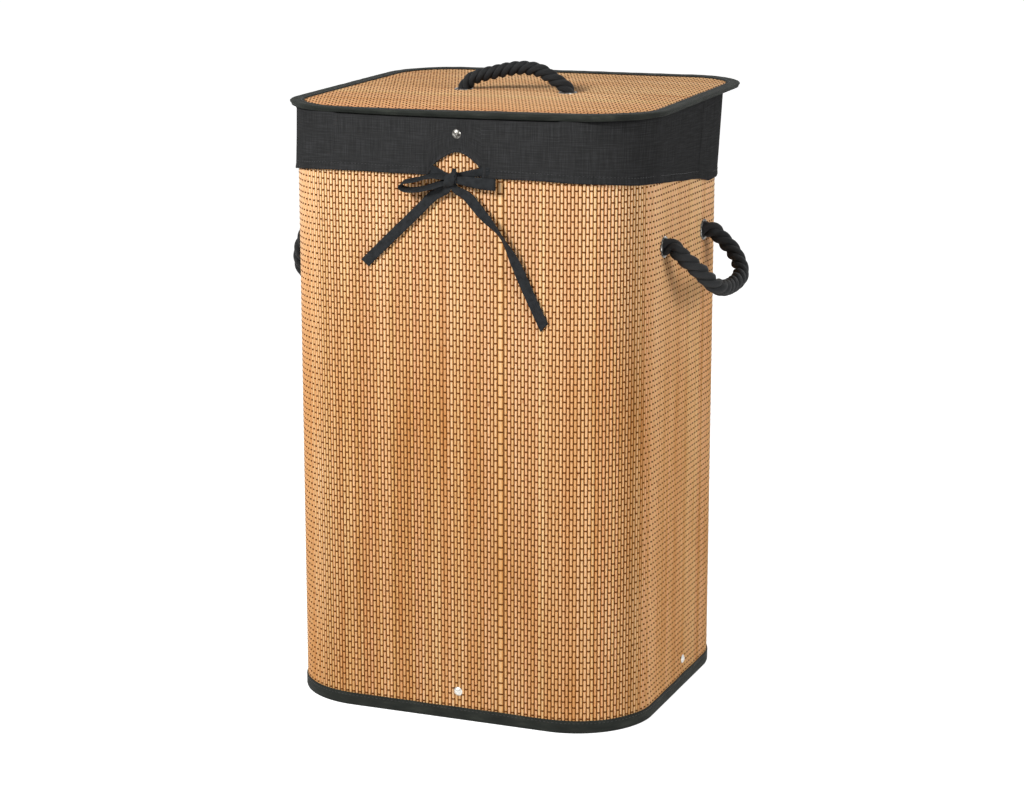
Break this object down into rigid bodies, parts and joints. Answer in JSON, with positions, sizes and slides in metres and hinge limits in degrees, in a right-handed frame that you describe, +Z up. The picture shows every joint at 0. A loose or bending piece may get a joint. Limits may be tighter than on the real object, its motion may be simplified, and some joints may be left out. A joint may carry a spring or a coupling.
{
  "type": "laundry hamper with lid",
  "caption": "Tall rounded rectangular laundry hamper of woven bamboo with a fabric liner folded over the rim, a ribbon bow, rope handles and a hinged lid.",
  "frame": {"origin": "on the floor, at the centre of the wall's plan", "axes": "+X to the right as seen from the front, +Y towards the hinged back, +Z up"},
  "size_m": [0.461, 0.3623, 0.6374],
  "materials": {
    "bamboo": "thin woven bamboo slats, satin, with darker gaps",
    "tape": "dark binding tape with a slight sheen",
    "board": "thin fibreboard",
    "wire": "bare steel wire and strip",
    "nickel": "bright nickel plate",
    "liner": "matt plain-woven cotton, charcoal",
    "ribbon": "matt woven ribbon, black",
    "rope": "three-strand twisted rope, black"
  },
  "bodies": {
    "hamper": {"bamboo_wall": "bamboo", "wall_seam_tape": "tape", "bottom_binding": "tape", "top_binding": "tape", "base_board": "board", "lower_wire_hoop": "wire", "upper_wire_hoop": "wire", "lower_hoop_clips": "wire", "upper_hoop_clips": "wire", "base_rivets": "nickel", "rim_rivets": "nickel", "liner_bag": "liner", "liner_cuff": "liner", "drawstring": "ribbon", "bow_knot": "ribbon", "bow_left_loop": "ribbon", "bow_right_loop": "ribbon", "bow_left_tail": "ribbon", "bow_right_tail": "ribbon", "side_eyelets": "nickel", "side_eyelet_washers": "nickel", "left_handle_knots": "rope", "right_handle_knots": "rope", "lid_hinge_tabs": "tape"},
    "lid": {"lid_mat": "bamboo", "lid_binding": "tape", "lid_edge_wire": "wire", "lid_eyelets": "nickel", "lid_eyelet_washers": "nickel", "lid_handle_knots": "rope"},
    "left_handle": {"left_handle_rope": "rope"},
    "right_handle": {"right_handle_rope": "rope"},
    "lid_handle": {"lid_handle_rope": "rope"}
  },
  "joints": [
    {"name": "lid_hinge", "type": "hinge", "parent": "hamper", "child": "lid", "pos_m": [0, 0.171, 0.60823], "axis": [-1, 0, 0], "range_deg": [0, 95], "deforming": ["lid_hinge_tabs"]},
    {"name": "left_handle_swing", "type": "hinge", "parent": "hamper", "child": "left_handle", "pos_m": [-0.19535, 0, 0.469], "axis": [0, 1, 0], "range_deg": [0, 146]},
    {"name": "right_handle_swing", "type": "hinge", "parent": "hamper", "child": "right_handle", "pos_m": [0.19535, 0, 0.469], "axis": [0, -1, 0], "range_deg": [0, 120]},
    {"name": "lid_handle_tilt", "type": "hinge", "parent": "lid", "child": "lid_handle", "pos_m": [0.0041, 0.00343, 0.61545], "axis": [1, 0, 0], "range_deg": [-60, 60], "stiffness_Nm_per_rad": 0.05}
  ]
}
